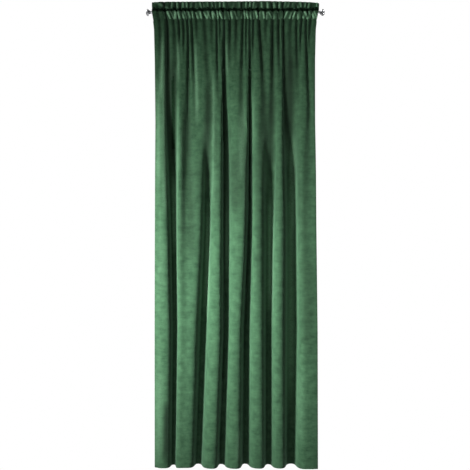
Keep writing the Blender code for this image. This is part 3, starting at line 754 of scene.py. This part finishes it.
def markPaintedShade(mesh):
    # Faces deepest in painted shade take the dark painted-shade velvet; Solidify gives the wrong side the
    # slot after it
    amounts = np.zeros(len(mesh.vertices))
    mesh.attributes["paintedShade"].data.foreach_get("value", amounts)
    for face in mesh.polygons:
        if amounts[list(face.vertices)].mean() > curtain["paintedShadeFrom"]:
            face.material_index = 2


def makeCurtain():
    cloth = makeSheetMesh("curtainCloth", *hemmedGrid())
    wrongSide = makeBacking()
    for finish in (makeVelvet(), wrongSide, makePaintedShadeVelvet(), wrongSide):
        cloth.data.materials.append(finish)
    markPaintedShade(cloth.data)
    solidify = cloth.modifiers.new("thickness", "SOLIDIFY")
    solidify.thickness = curtain["thickness"]
    solidify.offset = 0.0
    solidify.material_offset = 1
    applyAll(cloth)
    smoothUnder(cloth, curtain["smoothUnder"])
    return cloth


# Velvet

pileSheen = (0.50, 0.92, 0.62, 1.0)
velvet = {
    "finish": {
        "Roughness": 0.85, "Specular IOR Level": 0.12,
        "Sheen Weight": 0.8, "Sheen Roughness": 0.38, "Sheen Tint": pileSheen,
    },
    "pile": (0.036, 0.092, 0.045, 1.0),
    "pileDark": (0.0118, 0.0385, 0.0172, 1.0),
    "napStretch": (26.0, 78.0, 1.0),     # fine streaks across the cloth, per metre
    "patchScale": 24.0,
    "patchShare": 0.60,                  # of patches against streaks
    "napDetail": 4.0,
    "napBroken": 0.62,
    "napRange": (0.34, 0.66),
    "paintedHighlight": (0.215, 0.430, 0.250, 1.0),          # painted highlight on the creases' ridges and on the pale streaks
    "highlightScale": 140.0,
    "highlightRange": (0.1, 2.0),
    "pileScale": 900.0,
    "pileStrength": 0.5,
    "pileDepth": 0.0004,
    "fineDetail": 2.0,
    # Painted shade: its colour, and for the faces deepest in it a dark material with hardly any sheen
    "paintedShadeFinish": {"Roughness": 1.0, "Specular IOR Level": 0.03, "Sheen Weight": 0.0},
    "paintedShadeColor": (0.0035, 0.010, 0.0045, 1.0),
    "paintedShadeScale": 120.0,
    "paintedShadeDetail": 3.0,
    "paintedShadeRange": (0.45, 0.85),
}

# The cloth's wrong side: a plain close weave without pile
backing = {
    "finish": {"Roughness": 0.9, "Specular IOR Level": 0.2, "Sheen Weight": 0.15, "Sheen Tint": pileSheen},
    "color": (0.040, 0.088, 0.048, 1.0),
    "shade": 0.8,
    "patchScale": 20.0,
    "patchDetail": 3.0,
    "weaveScale": 1500.0,
    "weaveStrength": 0.3,
    "weaveDepth": 0.0003,
}


def addTone(nodes, below, share, color, broken=None):
    # One colour laid over another by a share that the cloth's points carry, and by a pattern
    factor = addNode(nodes, "Attribute", "Fac", attribute_name=share)
    if broken is not None:
        factor = addNode(nodes, "Math", "Value", {0: factor, 1: broken}, operation="MULTIPLY")
    return mixColors(nodes, factor, below, color)


def makeVelvet():
    material, nodes, shader = newMaterial("greenVelvet", velvet["finish"])
    flat = addNode(nodes, "UVMap", "UV", uv_map="flatCloth")
    streaks = addNoise(nodes, flat, 1.0, velvet["napDetail"], velvet["napBroken"], velvet["napStretch"])
    patches = addNoise(nodes, flat, velvet["patchScale"], velvet["napDetail"], velvet["napBroken"])
    nap = addNode(nodes, "Mix", "Result", {"Factor": velvet["patchShare"], "A": streaks, "B": patches},
                  data_type="FLOAT")
    brushed = mixColors(nodes, addRange(nodes, nap, velvet["napRange"]), velvet["pileDark"], velvet["pile"])
    specks = addNoise(nodes, flat, velvet["highlightScale"], velvet["fineDetail"])
    broken = addRange(nodes, specks, wanted=velvet["highlightRange"])
    # Painted highlight on the creases' ridges and the pale streaks, broken up by specks
    highlighted = addTone(nodes, brushed, "paintedLight", velvet["paintedHighlight"], broken)
    pile = addNoise(nodes, flat, velvet["pileScale"], velvet["fineDetail"])
    feed(shader, {
        "Base Color": addTone(nodes, highlighted, "paintedShade", velvet["paintedShadeColor"]),
        "Normal": addBump(nodes, pile, velvet["pileStrength"], velvet["pileDepth"]),
    })
    return material


def makePaintedShadeVelvet():
    # A dark velvet for the faces deepest in painted shade, with hardly any sheen
    material, nodes, shader = newMaterial("paintedShadeVelvet", velvet["paintedShadeFinish"])
    flat = addNode(nodes, "UVMap", "UV", uv_map="flatCloth")
    patches = addNoise(nodes, flat, velvet["paintedShadeScale"], velvet["paintedShadeDetail"])
    patches = addRange(nodes, patches, velvet["paintedShadeRange"])
    feed(shader, {"Base Color": mixColors(nodes, patches, velvet["paintedShadeColor"], velvet["pileDark"])})
    return material


def makeBacking():
    material, nodes, shader = newMaterial("velvetBacking", backing["finish"])
    flat = addNode(nodes, "UVMap", "UV", uv_map="flatCloth")
    weave = addNode(nodes, "TexChecker", "Fac", {"Vector": flat, "Scale": backing["weaveScale"]})
    patches = addNoise(nodes, flat, backing["patchScale"], backing["patchDetail"])
    shade = dimmed(backing["color"], backing["shade"])
    feed(shader, {
        "Base Color": mixColors(nodes, patches, shade, backing["color"]),
        "Normal": addBump(nodes, weave, backing["weaveStrength"], backing["weaveDepth"]),
    })
    return material


cloth = makeCurtain()
print("curtain made:", sum(len(face.vertices) - 2 for face in cloth.data.polygons), "triangles")
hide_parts("curtain")
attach(cloth, "root")


# Sewing threads

thread = {
    "pitch": 0.0036,
    "length": 0.0028,
    "radius": 0.00035,
    "sides": 5,
    "smoothUnder": 80,
    "lift": 0.4,                 # of its radius, above the cloth
    "tilt": 0.12,
    "seed": 3,
    "finish": {"Roughness": 0.55},
    "color": (0.022, 0.060, 0.030, 1.0),
    "shade": 0.5,
    "twistScale": 1400.0,
    "twistDetail": 2.0,
    "hemSeam": 0.006,            # from the edge of the bottom hem's and the side hems' turning
}


def alongLine(points, normals, lift):
    # Places, directions and outward normals at even steps along a line of the cloth
    lengths = np.concatenate(([0.0], np.cumsum(np.linalg.norm(np.diff(points, axis=0), axis=1))))
    even = np.arange(thread["pitch"], lengths[-1] - thread["pitch"], thread["pitch"])
    place = np.stack([np.interp(even, lengths, axis) for axis in (points + normals * lift).T], axis=1)
    out = np.stack([np.interp(even, lengths, axis) for axis in normals.T], axis=1)
    ahead = np.gradient(place, axis=0)
    return place, *(line / np.linalg.norm(line, axis=1, keepdims=True) for line in (ahead, out))


def seamLines():
    # The two seams of the pocket, front and back, then the hems' seams, which show only behind
    clear = curtain["thickness"] / 2 + thread["radius"] * thread["lift"]
    behind = -(curtain["hemLayer"] + clear)
    lines = []
    for mark in ("frontLower", "frontUpper", "backUpper", "backLower"):
        lines.append(alongLine(clothGrid[marks[mark]], clothOut[marks[mark]], clear))
    hemHeight = curtain["hem"] + curtain["bottomHem"] - thread["hemSeam"]
    hemRow = int(np.argmin(np.abs(clothGrid[:marks["frontLower"], 0, 2] - hemHeight)))
    lines.append(alongLine(clothGrid[hemRow], clothOut[hemRow], behind))
    sideColumn = int(np.searchsorted(clothAcross, curtain["sideHem"] - thread["hemSeam"]))
    rows = slice(hemRow, marks["frontLower"] - curtain["hemStop"])
    for column in (sideColumn, clothGrid.shape[1] - 1 - sideColumn):
        lines.append(alongLine(clothGrid[rows, column], clothOut[rows, column], behind))
    return lines


def makeThreads():
    # One short stitch, copied along every seam
    bpy.ops.object.select_all(action="DESELECT")
    bpy.ops.mesh.primitive_cylinder_add(
        vertices=thread["sides"], radius=thread["radius"], depth=thread["length"], end_fill_type="NGON",
    )
    piece = bpy.context.object
    piece.name = "sewingThread"
    stitch = np.array([corner.co for corner in piece.data.vertices])
    faces = [list(face.vertices) for face in piece.data.polygons]
    draw = random.Random(thread["seed"])
    corners, allFaces = [], []
    for places, aheads, outs in seamLines():
        for place, ahead, out in zip(places, aheads, outs):
            aside = np.cross(out, ahead)
            ahead = ahead + aside * draw.uniform(-1, 1) * thread["tilt"]
            turned = np.stack((aside, out, ahead / np.linalg.norm(ahead)))
            allFaces.extend([index + len(corners) * len(stitch) for index in face] for face in faces)
            corners.append(place + stitch @ turned)
    mesh = bpy.data.meshes.new("sewingThread")
    mesh.from_pydata(np.concatenate(corners), [], allFaces)
    piece.data = mesh
    selectOnly(piece)
    bpy.ops.object.mode_set(mode="EDIT")
    bpy.ops.mesh.select_all(action="SELECT")
    bpy.ops.mesh.normals_make_consistent(inside=False)
    bpy.ops.object.mode_set(mode="OBJECT")
    smoothUnder(piece, thread["smoothUnder"])
    return piece


def makeThreadFinish():
    material, nodes, shader = newMaterial("greenThread", thread["finish"])
    place = addNode(nodes, "TexCoord", "Object")
    twist = addNoise(nodes, place, thread["twistScale"], thread["twistDetail"])
    shade = dimmed(thread["color"], thread["shade"])
    feed(shader, {"Base Color": mixColors(nodes, twist, shade, thread["color"])})
    return material


threads = makeThreads()
threads.data.materials.append(makeThreadFinish())
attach(threads, "root")
print("threads sewn:", len(threads.data.polygons), "faces")


# Rod and finials

def makeMetal(name, finish):
    material, nodes, shader = newMaterial(name, {"Base Color": finish["color"], "Metallic": 1.0})
    place = addNode(nodes, "TexCoord", "Object")
    grain = addNoise(nodes, place, 1.0, finish["detail"], stretch=finish["grain"])
    rough = [finish["roughness"] * (1 + change) for change in (-finish["uneven"], finish["uneven"])]
    feed(shader, {"Roughness": addRange(nodes, grain, wanted=rough)})
    return material


rod = {
    "radius": 0.008,
    "wall": 0.001,
    "halfLength": 0.447,
    "sides": 64,
    "rim": 0.0002,
    "smoothUnder": 40,
    "steel": {"color": (0.60, 0.61, 0.63, 1.0), "roughness": 0.28, "uneven": 0.35,
              "grain": (30.0, 900.0, 900.0), "detail": 3.0},
}


def makeRod():
    # A drawn steel tube; the collars close its ends
    bpy.ops.object.select_all(action="DESELECT")
    bpy.ops.mesh.primitive_cylinder_add(
        vertices=rod["sides"], radius=rod["radius"], depth=2 * rod["halfLength"], end_fill_type="NOTHING",
        rotation=(0.0, math.pi / 2, 0.0),
    )
    tube = bpy.context.object
    tube.name = "rodTube"
    wall = tube.modifiers.new("wall", "SOLIDIFY")
    wall.thickness = rod["wall"]
    wall.offset = -1.0
    rim = tube.modifiers.new("rim", "BEVEL")
    rim.width = rod["rim"]
    rim.segments = 2
    applyAll(tube)
    smoothUnder(tube, rod["smoothUnder"])
    return tube


tube = makeRod()
tube.data.materials.append(makeMetal("rodSteel", rod["steel"]))
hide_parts("rod")
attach(tube, "root")
print("rod made")


collar = {
    "start": 0.4473,             # from the middle of the rod
    "sides": 64,
    "profile": (
        # radius, distance from the rod's end, in mm
        (0.0, 0.0), (6.8, 0.0), (8.0, 0.05), (8.25, 0.3), (8.25, 0.7), (8.02, 0.95), (8.02, 1.15),
        (8.32, 1.4), (8.42, 1.75), (8.32, 2.1), (8.05, 2.3), (8.15, 2.7), (8.6, 3.2), (9.05, 3.5),
        (9.2, 3.8), (9.2, 4.6), (9.05, 4.9), (8.8, 5.0), (8.3, 5.0), (8.15, 4.85), (3.0, 4.85),
        (2.6, 5.1), (2.6, 12.6), (2.2, 13.0), (0.0, 13.0),
    ),
    "merge": 0.00001,
    "smoothUnder": 35,
    "chrome": {"color": (0.66, 0.67, 0.69, 1.0), "roughness": 0.09, "uneven": 0.2,
               "grain": (400.0, 400.0, 400.0), "detail": 3.0},
}


def makeCollar(side, name):
    # A turned collar with a bead and a groove; its stud holds the crystal
    data = bpy.data.meshes.new(name)
    points = [(radius * mm, 0.0, along * mm) for radius, along in collar["profile"]]
    data.from_pydata(points, [(index, index + 1) for index in range(len(points) - 1)], [])
    piece = bpy.data.objects.new(name, data)
    bpy.context.scene.collection.objects.link(piece)
    selectOnly(piece)
    bpy.ops.object.mode_set(mode="EDIT")
    bpy.ops.mesh.select_all(action="SELECT")
    bpy.ops.mesh.spin(steps=collar["sides"], angle=2 * math.pi, center=(0, 0, 0), axis=(0, 0, 1))
    bpy.ops.mesh.select_all(action="SELECT")
    bpy.ops.mesh.remove_doubles(threshold=collar["merge"])
    bpy.ops.mesh.normals_make_consistent(inside=False)
    bpy.ops.object.mode_set(mode="OBJECT")
    placeAtEnd(piece, side, collar["start"])
    smoothUnder(piece, collar["smoothUnder"])
    return piece


def placeAtEnd(piece, side, start):
    # Made along +Z, then turned to point out of one end of the rod
    piece.rotation_euler = (0.0, side * math.pi / 2, 0.0)
    piece.location = (side * start, 0.0, 0.0)
    applyAll(piece)


crystal = {
    "start": 0.4526,
    "sides": 10,
    "rings": (
        # distance from the collar and radius in mm, half turn
        (0.0, 8.0, 0), (9.0, 14.2, 1), (16.5, 19.0, 0), (20.0, 15.8, 1), (24.5, 8.8, 0),
    ),
    "holeRadius": 2.9,           # in mm, as holeDepth
    "holeDepth": 9.0,
    "edge": 0.00022,
    "sameFacet": 0.01,           # faces that turn less than this, in radians, are one facet
    # Some facets of its belt are painted dark, a painted reflection of dark surroundings: one in so many,
    # between these distances
    "darkEvery": 5,
    "darkBelt": (8.0, 17.5),
    "finishes": {
        # color, roughness, refraction, clearness
        "cutCrystal": ((0.50, 0.51, 0.53, 1.0), 0.015, 1.60, 0.90),
        "paintedDarkFacets": ((0.02, 0.02, 0.024, 1.0), 0.015, 1.60, 0.25),
    },
}


def makeCrystal(side, name):
    # Rings of corners joined by flat facets, with a blind hole for the stud
    bpy.ops.object.select_all(action="DESELECT")
    turn = math.pi / crystal["sides"]
    for index, (along, radius, halfTurn) in enumerate(crystal["rings"]):
        bpy.ops.mesh.primitive_circle_add(
            vertices=crystal["sides"], radius=radius * mm, location=(0.0, 0.0, along * mm),
            rotation=(0.0, 0.0, halfTurn * turn),
        )
        if index == 0:
            piece = bpy.context.object
            piece.name = name
            bpy.ops.object.mode_set(mode="EDIT")
    bpy.ops.mesh.select_all(action="SELECT")
    bpy.ops.mesh.convex_hull()
    bpy.ops.mesh.dissolve_limited(angle_limit=crystal["sameFacet"])
    bpy.ops.mesh.bevel(offset=crystal["edge"], segments=1, affect="EDGES")
    drillStudHole(piece)
    bpy.ops.object.mode_set(mode="OBJECT")
    markPaintedDarkFacets(piece.data)
    placeAtEnd(piece, side, crystal["start"])
    return piece


def markPaintedDarkFacets(mesh):
    # Facets painted dark as a painted reflection; half turns of a facet are counted from the front
    low, high = crystal["darkBelt"]
    for face in mesh.polygons:
        fromFront = math.atan2(face.center.y, face.center.x) + math.pi / 2
        turns = round(fromFront / (math.pi / crystal["sides"]))
        if low < face.center.z / mm < high and turns % crystal["darkEvery"] == 0:
            face.material_index = 1


def drillStudHole(piece):
    bpy.ops.mesh.select_all(action="DESELECT")
    work = bmesh.from_edit_mesh(piece.data)
    for face in work.faces:
        if face.normal.z < -0.99 and len(face.verts) >= crystal["sides"]:
            face.select = True
            flatRadius = max(corner.co.xy.length for corner in face.verts)
    bmesh.update_edit_mesh(piece.data)
    rim = flatRadius - crystal["holeRadius"] * mm
    bpy.ops.mesh.inset(thickness=rim * math.cos(math.pi / crystal["sides"]))
    bpy.ops.mesh.extrude_region_move(TRANSFORM_OT_translate={"value": (0, 0, crystal["holeDepth"] * mm)})


def makeGlass(name, color, roughness, refraction, clearness):
    return newMaterial(name, {
        "Base Color": color, "Roughness": roughness, "IOR": refraction, "Transmission Weight": clearness,
    })[0]


chrome = makeMetal("chrome", collar["chrome"])
glasses = [makeGlass(name, *finish) for name, finish in crystal["finishes"].items()]
for side, end in ((-1, "left"), (1, "right")):
    ring = makeCollar(side, "collar_" + end + "_turned")
    ring.data.materials.append(chrome)
    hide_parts("collar_" + end)
    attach(ring, "root")
    stone = makeCrystal(side, "crystal_" + end + "_cut")
    for glass in glasses:
        stone.data.materials.append(glass)
    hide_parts("crystal_" + end)
    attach(stone, "root")
print("finials made")


# Floor, lamps and the studio around

stage = {
    "floorHeight": -2.446,
    "floorSize": 12.0,
    "lamps": {
        # place, target, width, height, watts, spread in degrees
        "keyLight": ((-2.76, -2.15, -1.44), (-0.10, 0.0, -1.44), 0.9, 0.7, 44.0, 50),
        "backLight": ((0.9, 2.4, -0.9), (0.0, 0.0, -1.2), 1.2, 1.8, 60.0, 180),
        "frontLight": ((-1.1, -3.3, -1.2), (0.0, 0.0, -1.3), 1.0, 1.0, 22.0, 180),
    },
    "white": (1.0, 1.0, 1.0, 1.0),
    "fill": 0.09,
    # The crystals and the chrome show the pale and dark sides of a studio
    "sidesScale": 2.2,
    "sidesDetail": 1.0,
    "sidesRange": (0.47, 0.62),
    "sidesLight": (0.0, 1.2),
}


def makeFloor():
    bpy.ops.mesh.primitive_plane_add(size=stage["floorSize"], location=(0.0, 0.0, stage["floorHeight"]))
    floor = bpy.context.object
    floor.name = "floor"
    material, nodes, _ = newMaterial("paleFloor", {})
    glow = addNode(nodes, "Emission", "Emission", {"Color": stage["white"]})
    feed(nodes["Material Output"], {"Surface": glow})
    floor.data.materials.append(material)
    floor.visible_diffuse = False
    floor.visible_shadow = False


def addSoftLight(name, place, target, width, height, power, spread):
    lamp = bpy.data.lights.new(name, "AREA")
    lamp.shape = "RECTANGLE"
    lamp.size, lamp.size_y = width, height
    lamp.energy = power
    lamp.spread = math.radians(spread)
    holder = bpy.data.objects.new(name, lamp)
    bpy.context.scene.collection.objects.link(holder)
    holder.location = place
    holder.rotation_euler = (Vector(target) - Vector(place)).to_track_quat("-Z", "Y").to_euler()


def makeWorld():
    world = bpy.data.worlds.new("studio")
    world.use_nodes = True
    nodes = world.node_tree.nodes
    feed(nodes["Background"], {"Color": stage["white"]})
    seen = nodes["Background"].outputs["Background"]
    soft = addNode(nodes, "Background", "Background", {"Color": stage["white"], "Strength": stage["fill"]})
    place = addNode(nodes, "TexCoord", "Generated")
    sides = addNoise(nodes, place, stage["sidesScale"], stage["sidesDetail"])
    sides = addRange(nodes, sides, stage["sidesRange"], stage["sidesLight"])
    around = addNode(nodes, "Background", "Background", {"Color": sides})
    diffuse = addNode(nodes, "LightPath", "Is Diffuse Ray")
    unseen = addNode(nodes, "MixShader", "Shader", {0: diffuse, 1: around, 2: soft})
    camera = addNode(nodes, "LightPath", "Is Camera Ray")
    feed(nodes["World Output"], {
        "Surface": addNode(nodes, "MixShader", "Shader", {0: camera, 1: unseen, 2: seen}),
    })
    bpy.context.scene.world = world


makeFloor()
for name, lamp in stage["lamps"].items():
    addSoftLight(name, *lamp)
makeWorld()
bpy.context.scene.view_settings.view_transform = "Standard"
print("stage set")

bpy.context.view_layer.update()
